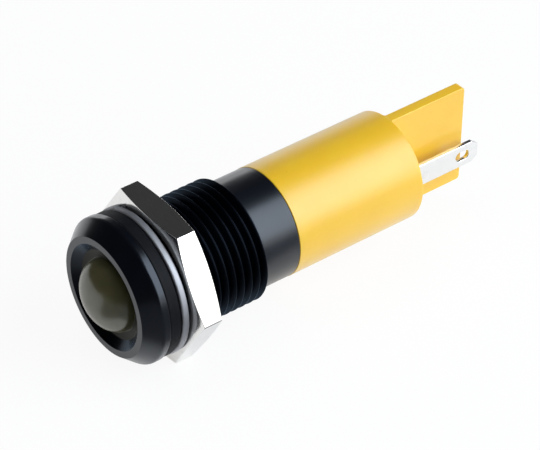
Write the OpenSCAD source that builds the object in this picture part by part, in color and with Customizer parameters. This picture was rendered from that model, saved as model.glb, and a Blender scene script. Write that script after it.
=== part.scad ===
// Panel pilot light: a threaded barrel with a domed lamp in front, a hex nut, a spring
// washer and a rubber seal round it, and a moulded rear housing with two solder tabs.
// The light's axis lies along Y. The lamp faces -Y, and Y = 0 is the panel's front
// surface, where the seal's rear face meets it. +Z is up.

/* [Bezel] */
// Diameter of the narrow band round the flange
bezel_d = 16.4; // [15.6:0.1:18]
// Outer diameter of the flat ring round the mouth
rim_d = 13.5; // [12.8:0.1:14.6]
// Diameter of the mouth at the front
mouth_d = 11.9; // [10.8:0.1:12.4]
// Height of the flange, from its back face to the ring
flange_h = 2.55; // [2:0.05:4]
// Length of the band along the axis
band_h = 0.7; // [0.4:0.05:1]
// Radius where the sloped flank meets the band
flank_r = 0.6; // [0.2:0.05:1]
// Small chamfer on sharp turned edges
edge_chamfer = 0.1; // [0.05:0.01:0.15]

/* [Barrel] */
// Nominal thread diameter
thread_d = 14; // [13.6:0.1:14.4]
// Thread pitch
thread_pitch = 1; // [0.75:0.25:1.25]
// Length from the flange's back face to the end of the thread
thread_l = 13.45; // [11:0.05:18]
// Width of the plain relief behind the flange
relief_l = 0.9; // [0.5:0.05:1.2]
// Chamfer at the end of the thread
thread_chamfer = 0.25; // [0.1:0.05:0.4]
// Diameter of the plain stretch behind the thread
plain_d = 12.45; // [12.2:0.05:12.6]
// Length of the plain stretch behind the thread
plain_l = 4.6; // [3:0.1:8]
// Diameter of the wide rear bore
bore_d = 11.3; // [10.9:0.05:11.5]
// Length of the narrow bore behind the lamp's seat
nose_bore_l = 3.6; // [2.5:0.1:5]

/* [Lamp] */
// Diameter of the dome
dome_d = 8.2; // [7.6:0.1:8.6]
// Height of the rounded dome above its straight neck
dome_h = 2.8; // [1.6:0.1:4.4]
// Height of the straight neck between flange and dome
neck_h = 0.1; // [0.1:0.1:1.5]
// Overhang of the lamp's flange beyond the dome
lamp_lip = 0.65; // [0.4:0.05:0.8]
// Thickness of the lamp's flange
lamp_lip_h = 0.9; // [0.6:0.1:1.2]
// Depth of the lamp's flange below the ring
lamp_depth = 1; // [0.7:0.05:1.2]
// Thickness of the gasket behind the lamp's flange
gasket_h = 0.45; // [0.3:0.05:0.6]
// Side of a square lead of the lamp
lead_w = 0.5; // [0.4:0.05:0.6]
// Distance between the two leads of the lamp
lead_pitch = 2.54; // [2.4:0.02:2.8]
// Length of each lead behind the lamp
lead_l = 14; // [12:0.1:15]
// Thickness of the disc that carries the leads
holder_h = 3; // [1.5:0.1:4]

/* [Seal, washer and nut] */
// Thickness of the rubber seal
seal_h = 1.4; // [1:0.05:2]
// Radial width of the rubber seal
seal_w = 1; // [0.8:0.05:1.1]
// Radius on the outer edges of the rubber seal
seal_r = 0.2; // [0.05:0.05:0.4]
// Thickness of the spring washer's wire
washer_t = 0.8; // [0.6:0.05:1.2]
// Radial width of the spring washer's wire
washer_w = 1.1; // [0.8:0.05:1.3]
// Rise of the spring washer from one cut end to the other
washer_rise = 0.38; // [0.1:0.02:0.8]
// Radius on the spring washer's edges
washer_r = 0.22; // [0.05:0.01:0.3]
// Width of the cut through the spring washer
washer_cut = 0.35; // [0.1:0.05:1]
// Angle of the cut round the axis, from +X towards +Z
washer_angle = 118; // [0:1:359]
// Width of the nut across its flats
nut_af = 17; // [16.5:0.5:19]
// Thickness of the nut
nut_h = 3; // [2:0.1:5]
// Slope of the nut's corner chamfers
nut_slope = 15; // [10:1:30]
// Step from the nut's flats in to its round faces
nut_inset = 0.33; // [0.1:0.01:0.5]
// Angle of a nut corner round the axis, from +X towards +Z
nut_angle = -1.9; // [-30:0.1:30]

/* [Rear housing] */
// Diameter of the rear housing
housing_d = 12.54; // [12.1:0.02:13]
// Length of the rear housing behind the barrel
housing_l = 16.7; // [15.6:0.1:22]
// Length of the housing's spigot inside the barrel
spigot_l = 5; // [3:0.1:6]
// Wall of the housing's spigot
spigot_w = 0.7; // [0.5:0.05:0.8]
// Thickness of the housing's end wall
end_wall = 1.5; // [1:0.1:2.5]
// Radius on the housing's rear edge
housing_r = 0.15; // [0.05:0.05:0.4]
// Thickness of the divider plate between the tabs
divider_t = 1.2; // [0.8:0.05:1.5]
// Length of the divider plate behind the end wall
divider_l = 10.3; // [6:0.1:14]
// Depth of the potting resin in front of the end wall
potting_h = 3.6; // [2:0.1:4.5]

/* [Solder tabs] */
// Width of a tab
tab_w = 2.8; // [2:0.1:3.2]
// Thickness of a tab
tab_t = 0.5; // [0.4:0.05:0.8]
// Distance of a tab's middle plane from the divider's middle plane
tab_off = 2; // [1.7:0.05:2.4]
// Distance of a tab's centre line from the level of the axis
tab_side = 1.6; // [1.5:0.05:1.9]
// Length of a tab behind the end wall
tab_l = 11.25; // [7:0.05:14]
// Length of the corner chamfers at a tab's tip
tip_l = 0.85; // [0.4:0.05:1.2]
// Width of the corner chamfers at a tab's tip
tip_w = 0.6; // [0.3:0.05:0.9]
// Length of the wire eye along the tab
eye_l = 1.9; // [1.3:0.1:2.6]
// Width of the wire eye
eye_w = 1.2; // [0.8:0.05:1.5]
// Distance from a tab's tip to the middle of its wire eye
eye_back = 2.2; // [1.9:0.05:3]
// Length of the tab's foot on the circuit board
foot_l = 4; // [3:0.1:5]
// Length of the double bend between foot and tab
bend_l = 1.2; // [0.8:0.1:1.4]

/* [Circuit board] */
// Thickness of the circuit board
board_t = 1.6; // [1.2:0.1:1.8]
// Diameter of the resistor's ends
resistor_d = 2.3; // [1.8:0.1:2.4]
// Length of the resistor's body
resistor_l = 6.3; // [5:0.1:6.6]
// Diameter of the diode's body
diode_d = 2.6; // [1.8:0.1:2.7]
// Length of the diode's body
diode_l = 5.2; // [4:0.1:6.4]
// Distance between the holes of the resistor, and of the diode
part_pitch = 8.6; // [8:0.1:9]
// Distance from the rear holes of both to the tabs' feet
pad_gap = 1.25; // [1.1:0.05:2]
// Distance of the resistor and the diode from the level of the axis
part_side = 2.3; // [2.2:0.05:2.5]
// Diameter of the resistor's and the diode's wires
wire_d = 0.6; // [0.4:0.05:0.7]
// Length of a wire's stub past the board
stub_l = 0.7; // [0.5:0.05:0.8]
// Height of a solder joint
solder_h = 0.5; // [0.3:0.05:0.6]
// Width of a solder joint beyond what it holds
solder_w = 0.35; // [0.2:0.05:0.45]

/* [Clearances] */
// Radial gap between the thread and what slides over it
ring_gap = 0.1; // [0.05:0.01:0.2]
// Radial gap between the thread's crests and the nut
nut_gap = 0.04; // [0.02:0.01:0.08]
// Gap along the axis on each side of the spring washer
face_gap = 0.02; // [0.01:0.01:0.05]
// Radial gap round the lamp, its gasket and its neck
lamp_gap = 0.1; // [0.05:0.01:0.2]
// Radial gap between the housing's spigot and the barrel
spigot_gap = 0.05; // [0.02:0.01:0.1]
// Gap round what slides into a bore or a slot inside the light
inner_gap = 0.08; // [0.04:0.01:0.12]
// Gap round a wire in its hole in the board
hole_gap = 0.1; // [0.05:0.01:0.15]

/* [Hidden] */
$fn = 64;

// Barrel, from front to back
back_y = -seal_h;
rim_y = back_y - flange_h;
thread_end = back_y + thread_l;
barrel_end = thread_end + plain_l;
thread_r = thread_d / 2;
land_w = thread_pitch / 8;
groove_d = 0.6134 * thread_pitch;
groove_side = groove_d * tan(30);
root_r = thread_r - groove_d;
last_land = thread_end - thread_chamfer - land_w;
turns = floor((last_land - back_y - relief_l) / thread_pitch);
first_land = last_land - turns * thread_pitch;
plain_r = plain_d / 2;
bore_r = bore_d / 2;

// Lamp and what stands behind it
dome_r = dome_d / 2;
lamp_r = dome_r + lamp_lip;
lamp_y = rim_y + lamp_depth;
lamp_back = lamp_y + lamp_lip_h;
seat_y = lamp_back + gasket_h;
seat_r = lamp_r + lamp_gap;
nose_r = dome_r + lamp_gap;
shelf_y = seat_y + nose_bore_l;
holder_end = shelf_y + holder_h;
lead_x = lead_pitch / 2;
lead_end = lamp_back + lead_l;

// Rear housing, potting, tabs and board
housing_end = barrel_end + housing_l;
pocket_end = housing_end - end_wall;
spigot_r = bore_r - spigot_gap;
pocket_r = spigot_r - spigot_w;
potting_y = pocket_end - potting_h;
bend_y = potting_y - bend_l;
foot_y = bend_y - foot_l;
tab_end = housing_end + tab_l;
face_x = board_t / 2;
foot_x = face_x + tab_t / 2;
board_y = holder_end + inner_gap;
board_end = bend_y + tab_t;
board_w = 2 * (sqrt(pow(pocket_r, 2) - pow(face_x, 2)) - inner_gap);
part_y = foot_y - pad_gap - part_pitch / 2;
lift = 0.15;
resistor_x = face_x + lift + resistor_d / 2;
diode_x = face_x + lift + diode_d / 2;
wire_r = wire_d / 2;
solder_gap = 0.02;
skin_inset = 0.02;

// Seal, washer and nut
ring_r = thread_r + ring_gap;
seal_outer = ring_r + seal_w;
washer_outer = ring_r + washer_w;
nut_y = washer_t + washer_rise + 2 * face_gap;
nut_bore_r = thread_r + nut_gap;
nut_corner_r = nut_af / 2 / cos(30);
nut_face_r = nut_af / 2 - nut_inset;

// A profile drawn as [radius, Y] turned round the light's axis
module turned(points) {
    rotate([-90, 0, 0]) rotate_extrude() polygon(points);
}

// A round bar along Y
module bar(r, from, to, at = [0, 0]) {
    translate([at[0], from, at[1]]) rotate([-90, 0, 0]) cylinder(r = r, h = to - from);
}

// A round bar along X
module cross_bar(r, from, to, y, z) {
    translate([from, y, z]) rotate([0, 90, 0]) cylinder(r = r, h = to - from, $fn = 32);
}

// A box between two corners
module block(low, high) {
    translate(low) cube(high - low);
}

// Points of an arc round a centre
function arc(centre, r, from, to, steps) = [
    for (i = [0:steps]) let (a = from + (to - from) * i / steps)
        [centre[0] + r * cos(a), centre[1] + r * sin(a)]
];

// Crests and grooves of the thread, front to back, ending in the chamfer and its step
function thread_points() = concat(
    [for (k = [0:turns - 1], p = [
            [thread_r, 0], [thread_r, land_w],
            [root_r, land_w + groove_side], [root_r, thread_pitch - groove_side]
        ]) [p[0], first_land + k * thread_pitch + p[1]]],
    [
        [thread_r, last_land], [thread_r, last_land + land_w],
        [thread_r - thread_chamfer, thread_end], [plain_r, thread_end]
    ]
);

module bezel_barrel() {
    band_r = bezel_d / 2;
    rim_r = rim_d / 2;
    corner = [band_r - flank_r, back_y - band_h];
    reach = corner - [rim_r, rim_y];
    flank = atan2(reach[0], reach[1]) + asin(flank_r / norm(reach));
    color("#1b1d24") turned(concat(
        [[mouth_d / 2, rim_y], [rim_r, rim_y]],
        arc(corner, flank_r, -flank, 0, 6),
        [
            [band_r, back_y - edge_chamfer], [band_r - edge_chamfer, back_y],
            [root_r, back_y], [root_r, first_land - groove_side]
        ],
        thread_points(),
        [
            [plain_r, barrel_end - edge_chamfer], [plain_r - edge_chamfer, barrel_end],
            [bore_r, barrel_end], [bore_r, shelf_y], [nose_r, shelf_y],
            [nose_r, seat_y], [seat_r, seat_y], [seat_r, lamp_y]
        ]
    ));
}

module lamp() {
    top_y = lamp_y - neck_h;
    color("#5b5a3c") turned(concat(
        [for (i = [0:20]) let (a = 90 * i / 20) [dome_r * sin(a), top_y - dome_h * cos(a)]],
        [[dome_r, lamp_y], [lamp_r, lamp_y], [lamp_r, lamp_back], [0, lamp_back]]
    ));
}

module lamp_gasket() {
    color("#2a2a2a") difference() {
        bar(lamp_r, lamp_back, seat_y);
        bar(nose_r, lamp_back - 1, seat_y + 1);
    }
}

module lamp_lead(side) {
    block(
        [side * lead_x - lead_w / 2, lamp_back, -lead_w / 2],
        [side * lead_x + lead_w / 2, lead_end, lead_w / 2]
    );
}

module anode_lead() {
    color("#b9bcc0") lamp_lead(1);
}

module cathode_lead() {
    color("#b9bcc0") lamp_lead(-1);
}

module lead_holder() {
    hole = lead_w / 2 + inner_gap;
    color("#26272b") difference() {
        turned([
            [0, lamp_back + inner_gap], [nose_r - inner_gap, lamp_back + inner_gap],
            [nose_r - inner_gap, shelf_y], [bore_r - inner_gap, shelf_y],
            [bore_r - inner_gap, holder_end], [0, holder_end]
        ]);
        for (side = [-1, 1])
            block(
                [side * lead_x - hole, lamp_back - 1, -hole],
                [side * lead_x + hole, holder_end + 1, hole]
            );
    }
}

// The two wires of the resistor or the diode: y and z of each hole
function wire_hole(side, end) = [part_y + end * part_pitch / 2, side * part_side];

module circuit_board() {
    color("#2f6b3a") difference() {
        block([-face_x, board_y, -board_w / 2], [face_x, board_end, board_w / 2]);
        for (side = [-1, 1], end = [-1, 1]) {
            at = wire_hole(side, end);
            cross_bar(wire_r + hole_gap, -board_t, board_t, at[0], at[1]);
        }
    }
}

module resistor() {
    cap = resistor_l / 5;
    waist = resistor_d * 0.42;
    color("#c9b489") translate([resistor_x, part_y, part_side]) turned([
        [0, -resistor_l / 2], [resistor_d * 0.4, -resistor_l / 2],
        [resistor_d / 2, cap / 2 - resistor_l / 2], [resistor_d / 2, cap - resistor_l / 2],
        [waist, 1.4 * cap - resistor_l / 2], [waist, resistor_l / 2 - 1.4 * cap],
        [resistor_d / 2, resistor_l / 2 - cap], [resistor_d / 2, resistor_l / 2 - cap / 2],
        [resistor_d * 0.4, resistor_l / 2], [0, resistor_l / 2]
    ]);
}

module diode() {
    color("#232325") bar(
        diode_d / 2, part_y - diode_l / 2, part_y + diode_l / 2, [-diode_x, -part_side]
    );
}

// A wire from the end of a body that lies over one face of the board, bent down and
// passed through its hole. side: +1 on the +X face, -1 on the -X face. end: -1 front.
module part_wire(side, end, body_x, body_l) {
    at = wire_hole(side, end);
    start = part_y + end * body_l / 2;
    stub = -side * (face_x + stub_l);
    bar(wire_r, min(start, at[0]), max(start, at[0]), [side * body_x, at[1]], $fn = 32);
    cross_bar(wire_r, min(stub, side * body_x), max(stub, side * body_x), at[0], at[1]);
    translate([side * body_x, at[0], at[1]]) sphere(r = wire_r, $fn = 32);
}

module resistor_front_wire() {
    color("#b9bcc0") part_wire(1, -1, resistor_x, resistor_l);
}

module resistor_rear_wire() {
    color("#b9bcc0") part_wire(1, 1, resistor_x, resistor_l);
}

module diode_front_wire() {
    color("#b9bcc0") part_wire(-1, -1, diode_x, diode_l);
}

module diode_rear_wire() {
    color("#b9bcc0") part_wire(-1, 1, diode_x, diode_l);
}

// Solder on both faces of the board, round the ends of the lamp's leads
module lamp_solder() {
    z = lead_w / 2 + solder_w;
    top = lead_x + lead_w / 2 + solder_gap;
    start = lead_end - 4 * solder_w - lead_w;
    color("#a9adb2") for (side = [0, 180]) rotate([0, side, 0]) difference() {
        translate([0, start, 0]) rotate([-90, 0, 0])
            linear_extrude(4 * solder_w) polygon([
                [face_x, -z], [face_x, z], [top, z / 2], [top, -z / 2]
            ]);
        block(
            [lead_x - lead_w / 2 - solder_gap, start - 1, -lead_w / 2 - solder_gap],
            [top + 1, lead_end + 1, lead_w / 2 + solder_gap]
        );
    }
}

// A cone of solder round each wire, on the face that its stub leaves
module wire_solder() {
    color("#a9adb2") for (side = [-1, 1], end = [-1, 1]) {
        at = wire_hole(side, end);
        translate([-side * face_x, at[0], at[1]]) rotate([0, -side * 90, 0]) difference() {
            cylinder(r1 = wire_r + solder_w, r2 = wire_r + 0.1, h = solder_h);
            translate([0, 0, -1]) cylinder(r = wire_r + solder_gap, h = solder_h + 2, $fn = 32);
        }
    }
}

// Solder along three edges of each tab's foot
module tab_solder() {
    low = tab_side - tab_w / 2;
    high = tab_side + tab_w / 2;
    color("#a9adb2") for (turn = [0, 180]) rotate([0, turn, 0]) difference() {
        block(
            [face_x, foot_y - solder_w, -high - solder_w],
            [face_x + 0.6 * tab_t, bend_y, -low + solder_w]
        );
        block([face_x - 1, foot_y, -high], [face_x + tab_t + 1, bend_y + 1, -low]);
    }
}

// A tab stamped from sheet and bent twice: a foot on the board and a blade that leaves
// the end wall. This one lies on the +X side, below the level of the axis.
module tab() {
    inner = tab_off - tab_t / 2;
    outer = tab_off + tab_t / 2;
    blade_y = potting_y;
    difference() {
        translate([0, 0, -tab_side]) linear_extrude(tab_w, center = true) polygon([
            [face_x, foot_y], [face_x + tab_t, foot_y], [face_x + tab_t, bend_y],
            [outer, blade_y], [outer, tab_end], [inner, tab_end],
            [inner, blade_y], [face_x, bend_y]
        ]);
        for (edge = [-1, 1])
            translate([0, tab_end, -tab_side + edge * tab_w / 2]) rotate([0, 90, 0])
                linear_extrude(outer + 1) polygon([
                    [0, -tip_l], [edge * tip_w, 0], [edge * tip_w, 1], [-edge, 1], [-edge, -tip_l]
                ]);
        for (end = [-1, 1])
            cross_bar(eye_w / 2, 0, outer + 1, eye_y(end), -tab_side);
        block(
            [0, eye_y(-1), -tab_side - eye_w / 2], [outer + 1, eye_y(1), -tab_side + eye_w / 2]
        );
    }
}

// Centre of one round end of the wire eye along the tab
function eye_y(end) = tab_end - eye_back + end * (eye_l - eye_w) / 2;

module positive_tab() {
    color("#d9dade") tab();
}

module negative_tab() {
    color("#d9dade") rotate([0, 180, 0]) tab();
}

// Room for both blades through the end wall or the resin
module blade_slots(gap) {
    for (turn = [0, 180]) rotate([0, turn, 0])
        block(
            [tab_off - tab_t / 2 - gap, potting_y - 1, -tab_side - tab_w / 2 - gap],
            [tab_off + tab_t / 2 + gap, housing_end + 1, -tab_side + tab_w / 2 + gap]
        );
}

module rear_housing() {
    outer_r = housing_d / 2;
    // The divider is as wide as the housing, with its corners just inside the round side
    divider_z = sqrt(pow(outer_r - skin_inset, 2) - pow(divider_t / 2, 2));
    color("#e6b92c") {
        difference() {
            turned(concat(
                [
                    [0, pocket_end], [pocket_r, pocket_end],
                    [pocket_r, barrel_end - spigot_l], [spigot_r, barrel_end - spigot_l],
                    [spigot_r, barrel_end], [outer_r, barrel_end]
                ],
                arc([outer_r - housing_r, housing_end - housing_r], housing_r, 0, 90, 4),
                [[0, housing_end]]
            ));
            blade_slots(inner_gap);
        }
        block(
            [-divider_t / 2, housing_end - end_wall / 2, -divider_z],
            [divider_t / 2, housing_end + divider_l, divider_z]
        );
    }
}

module potting_resin() {
    color("#3a3226") difference() {
        bar(pocket_r - solder_gap, potting_y, pocket_end);
        blade_slots(0);
    }
}

module panel_seal() {
    color("#26272a") turned(concat(
        [[ring_r, -seal_h]],
        arc([seal_outer - seal_r, seal_r - seal_h], seal_r, -90, 0, 4),
        arc([seal_outer - seal_r, -seal_r], seal_r, 0, 90, 4),
        [[ring_r, 0]]
    ));
}

// Section of the spring washer's wire as [radius, Y], with rounded edges
function wire_section() = concat(
    arc([washer_outer - washer_r, washer_r], washer_r, -90, 0, 2),
    arc([washer_outer - washer_r, washer_t - washer_r], washer_r, 0, 90, 2),
    arc([ring_r + washer_r, washer_t - washer_r], washer_r, 90, 180, 2),
    arc([ring_r + washer_r, washer_r], washer_r, 180, 270, 2)
);

// The spring washer: its section carried once round the axis while it comes forward
module lock_washer() {
    section = wire_section();
    sides = len(section);
    steps = 60;
    gap_angle = washer_cut / washer_outer * 180 / PI;
    points = [
        for (i = [0:steps], p = section)
            let (
                share = i / steps,
                a = washer_angle + gap_angle / 2 + (360 - gap_angle) * share,
                y = face_gap + washer_rise * (1 - share) + p[1]
            ) [p[0] * cos(a), y, p[0] * sin(a)]
    ];
    skin = [
        for (i = [0:steps - 1], j = [0:sides - 1])
            let (a = i * sides, k = (j + 1) % sides)
                [a + j, a + k, a + sides + k, a + sides + j]
    ];
    front_end = [for (j = [sides - 1:-1:0]) j];
    rear_end = [for (j = [0:sides - 1]) steps * sides + j];
    color("#b4b6ba") polyhedron(points, concat([front_end], skin, [rear_end]));
}

module hex_nut() {
    fall = (nut_corner_r + 1 - nut_face_r) * tan(nut_slope);
    mouth = min(2 * groove_d / 3, (nut_face_r - nut_bore_r) / 2);
    color("#c6c6c2") difference() {
        intersection() {
            translate([0, nut_y, 0]) rotate([-90, -nut_angle, 0])
                cylinder(r = nut_corner_r, h = nut_h, $fn = 6);
            turned([
                [0, nut_y], [nut_face_r, nut_y], [nut_corner_r + 1, nut_y + fall],
                [nut_corner_r + 1, nut_y + nut_h - fall], [nut_face_r, nut_y + nut_h],
                [0, nut_y + nut_h]
            ]);
        }
        turned([
            [0, nut_y - 1], [nut_bore_r + mouth, nut_y - 1], [nut_bore_r + mouth, nut_y],
            [nut_bore_r, nut_y + mouth], [nut_bore_r, nut_y + nut_h - mouth],
            [nut_bore_r + mouth, nut_y + nut_h], [nut_bore_r + mouth, nut_y + nut_h + 1],
            [0, nut_y + nut_h + 1]
        ]);
    }
}

bezel_barrel();
lamp();
lamp_gasket();
anode_lead();
cathode_lead();
lead_holder();
circuit_board();
resistor();
resistor_front_wire();
resistor_rear_wire();
diode();
diode_front_wire();
diode_rear_wire();
lamp_solder();
wire_solder();
tab_solder();
positive_tab();
negative_tab();
rear_housing();
potting_resin();
panel_seal();
lock_washer();
hex_nut();
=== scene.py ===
import math
import bpy
import bmesh
import numpy as np
from mathutils import Matrix, Vector
from mathutils.geometry import delaunay_2d_cdt


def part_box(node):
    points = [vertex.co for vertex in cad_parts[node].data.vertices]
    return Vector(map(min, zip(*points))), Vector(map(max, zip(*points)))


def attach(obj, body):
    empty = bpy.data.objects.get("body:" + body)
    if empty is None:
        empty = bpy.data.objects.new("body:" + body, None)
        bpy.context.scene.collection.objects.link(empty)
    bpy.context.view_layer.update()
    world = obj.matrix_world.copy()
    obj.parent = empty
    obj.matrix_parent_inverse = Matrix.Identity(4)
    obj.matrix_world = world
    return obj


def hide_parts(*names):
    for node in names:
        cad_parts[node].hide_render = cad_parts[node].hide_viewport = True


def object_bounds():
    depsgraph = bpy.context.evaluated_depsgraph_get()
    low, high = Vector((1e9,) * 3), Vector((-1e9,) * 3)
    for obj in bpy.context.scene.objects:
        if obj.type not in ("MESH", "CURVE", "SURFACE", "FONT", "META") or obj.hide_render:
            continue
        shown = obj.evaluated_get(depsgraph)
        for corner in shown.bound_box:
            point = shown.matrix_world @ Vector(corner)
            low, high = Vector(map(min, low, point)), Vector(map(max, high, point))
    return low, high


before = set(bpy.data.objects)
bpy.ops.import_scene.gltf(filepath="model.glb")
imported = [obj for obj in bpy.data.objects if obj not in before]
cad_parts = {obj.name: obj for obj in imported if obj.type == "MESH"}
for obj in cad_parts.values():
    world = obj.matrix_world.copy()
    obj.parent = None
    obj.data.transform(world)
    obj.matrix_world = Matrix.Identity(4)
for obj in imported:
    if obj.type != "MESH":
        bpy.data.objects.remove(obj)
cadLow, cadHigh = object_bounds()
mm = 0.001
fullTurn = 2 * math.pi
print("frame loaded,", len(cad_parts), "nodes")


def span(node):  # lowest and highest corner of a CAD node, in millimetres
    low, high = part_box(node)
    return np.array(low) / mm, np.array(high) / mm


def middle(node):
    low, high = span(node)
    return (low + high) / 2


barrelLow, barrelHigh = span("bezel_barrel")
nutLow, nutHigh = span("hex_nut")
washerLow = span("lock_washer")[0]
sealLow, sealHigh = span("panel_seal")
lampLow, lampHigh = span("lamp")
housingLow, housingHigh = span("rear_housing")
tabLow, tabHigh = span("positive_tab")
rimY = barrelLow[1]  # front of the flat ring round the mouth
barrelEnd = barrelHigh[1]
pottingFront = span("potting_resin")[0][1]


def gridFaces(rows, columns, closeRows=False, closeColumns=False, caps=False):
    # quads of a grid: corner (i, j), the next column, the next row of both; the caps are the
    # whole first row and the whole last row as one face each
    i = np.arange(rows if closeRows else rows - 1)[:, None]
    j = np.arange(columns if closeColumns else columns - 1)[None, :]
    down, right = (i + 1) % rows, (j + 1) % columns
    quads = np.stack([
        i * columns + j, i * columns + right,
        down * columns + right, down * columns + j], axis=-1)
    ends = [list(range(columns)), list(range((rows - 1) * columns, rows * columns))]
    return quads.reshape(-1, 4).tolist() + (ends if caps else [])


def makeSolid(name, shells, unit=mm):
    # shells is a list of (points in millimetres, faces); they become one mesh, where one
    # millimetre is this unit
    points = [np.asarray(p, float).reshape(-1, 3) for p, _ in shells]
    starts = np.cumsum([0] + [len(p) for p in points[:-1]])
    faces = [[corner + start for corner in face]
             for (_, part), start in zip(shells, starts.tolist()) for face in part]
    mesh = bpy.data.meshes.new(name)
    mesh.from_pydata((np.concatenate(points) * unit).tolist(), [], faces)
    shape = bmesh.new()
    shape.from_mesh(mesh)
    bmesh.ops.remove_doubles(shape, verts=shape.verts, dist=2e-4 * unit)
    bmesh.ops.dissolve_degenerate(shape, edges=shape.edges, dist=1e-4 * unit)
    bmesh.ops.recalc_face_normals(shape, faces=shape.faces)
    shape.to_mesh(mesh)
    shape.free()
    piece = bpy.data.objects.new(name, mesh)
    bpy.context.scene.collection.objects.link(piece)
    return piece


def gridSolid(name, points, unit=mm, **closed):
    # one solid whose points stand in rows and columns
    return makeSolid(name, [(points, gridFaces(*points.shape[:2], **closed))], unit)


def finishPiece(piece, material, slot, body, *nodes, smoothAngle=38):
    # the piece is shaded and gets its material, stands for the nodes and rides on the body
    mesh = piece.data
    mesh.shade_smooth()
    mesh.set_sharp_from_angle(angle=math.radians(smoothAngle))
    mesh.materials.clear()
    mesh.materials.append(material)
    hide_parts(*nodes)
    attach(piece, body)
    print("piece", piece.name, len(mesh.vertices), "points", len(mesh.polygons), "faces")


def joinSolid(piece, other, operation):
    # the other solid is added to the piece or cut out of it, and its own object goes; both
    # are meshes whose unit is a millimetre, so that the cut stays exact
    change = piece.modifiers.new("join", "BOOLEAN")
    change.operation, change.solver, change.object = operation, "MANIFOLD", other
    shown = piece.evaluated_get(bpy.context.evaluated_depsgraph_get())
    mesh = bpy.data.meshes.new_from_object(shown)
    piece.modifiers.clear()
    mesh.name, piece.data = piece.name, mesh
    bpy.data.objects.remove(other)


def carried(radii, places, angles):
    # point (i, j) = (radius cos angle, place along Y, radius sin angle)
    radii, places = np.broadcast_arrays(radii, places)
    return np.stack([radii * np.cos(angles), places, radii * np.sin(angles)], axis=-1)


def turned(profile, columns):
    # the points of a profile of (radius, place), the same at every angle round the axis
    angles = np.linspace(0, fullTurn, columns + 1)
    profile = np.asarray(profile, float)
    return carried(profile[:, :1], profile[:, 1:] + 0 * angles, angles)


def rounded(points, radii, steps=4, closed=False):
    # each corner becomes an arc that touches both of its sides: the arc's points run
    # from one touching point to the other on a circle of the corner's radius
    points = [np.asarray(p, float) for p in points]
    made = []
    for k, (here, radius) in enumerate(zip(points, radii)):
        inner = closed or 0 < k < len(points) - 1
        if not inner or radius <= 0:
            made.append(here[None])
            continue
        before, after = points[k - 1] - here, points[(k + 1) % len(points)] - here
        u, v = before / np.linalg.norm(before), after / np.linalg.norm(after)
        half = math.acos(np.clip(u @ v, -1, 1)) / 2
        reach = radius / math.tan(half)
        centre = here + (u + v) / np.linalg.norm(u + v) * radius / math.sin(half)
        first, last = here + u * reach - centre, here + v * reach - centre
        turn = math.atan2(first[0] * last[1] - first[1] * last[0], first @ last)
        a = np.linspace(0, turn, steps + 1)[:, None]
        side = np.array([-first[1], first[0]])
        made.append(centre + first * np.cos(a) + side * np.sin(a))
    return np.concatenate(made)


def supported(profile, gap=0.05):
    # adds a point close to each end of every long straight step, so that the smooth
    # shading of a rounding stays on the rounding
    made = [profile[:1]]
    for here, there in zip(profile[:-1], profile[1:]):
        length = np.linalg.norm(there - here)
        if length > 3 * gap:
            step = (there - here) / length * gap
            made.append(np.array([here + step, there - step]))
        made.append(there[None])
    return np.concatenate(made)


def insetLoop(loop, distance):
    # each point moves by the distance along the left normal of the line between its neighbours
    along = np.roll(loop, -1, axis=0) - np.roll(loop, 1, axis=0)
    along = along / np.linalg.norm(along, axis=1, keepdims=True)
    return loop + distance * np.stack([-along[:, 1], along[:, 0]], axis=1)


def thickLoop(loop, half, edge, steps=4):
    # the strip round a thick plate's edge: inset = edge (1 - sin t), height = half less
    # edge (1 - cos t) for t from 0 to a quarter turn, then the same below
    t = np.linspace(0, math.pi / 2, steps)
    insets, heights = edge * (1 - np.sin(t)), half - edge * (1 - np.cos(t))
    rows = [np.column_stack([insetLoop(loop, inset), np.full(len(loop), height)])
            for inset, height in zip([*insets, *insets[::-1]], [*heights, *-heights[::-1]])]
    return np.stack(rows)


def plateFaces(loops, ties):
    # triangles of the flat face between closed loops: those whose middle has an inner loop
    # wound round it are left out; ties are edges that the triangles have to keep
    flat = np.concatenate(loops)
    edges, start = list(ties), 0
    for loop in loops:
        edges += [(start + k, start + (k + 1) % len(loop)) for k in range(len(loop))]
        start += len(loop)
    found = delaunay_2d_cdt([Vector(p) for p in flat.tolist()], edges, [], 1, 1e-7)
    corners, triangles = np.array([tuple(p) for p in found[0]]), np.array(found[2])
    middles = corners[triangles].mean(axis=1)
    keep = np.ones(len(triangles), bool)
    for loop in loops[1:]:
        away = loop[None] - middles[:, None]
        after = np.roll(away, -1, axis=1)
        cross = away[..., 0] * after[..., 1] - away[..., 1] * after[..., 0]
        keep &= np.abs(np.arctan2(cross, (away * after).sum(-1)).sum(1)) < math.pi
    return triangles[keep].tolist()


def plate(loops, half, edge, ties=()):
    # a thick sheet between closed loops, as one list of shells with rounded edges: the outer
    # loop runs anticlockwise and the inner ones clockwise
    strips = [thickLoop(loop, half, edge) for loop in loops]
    shells = [(strip, gridFaces(*strip.shape[:2], closeColumns=True)) for strip in strips]
    flats = [np.concatenate([strip[row] for strip in strips]) for row in (0, -1)]
    faces = plateFaces([strip[0, :, :2] for strip in strips], ties)
    return shells + [(flat, faces) for flat in flats]


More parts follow.
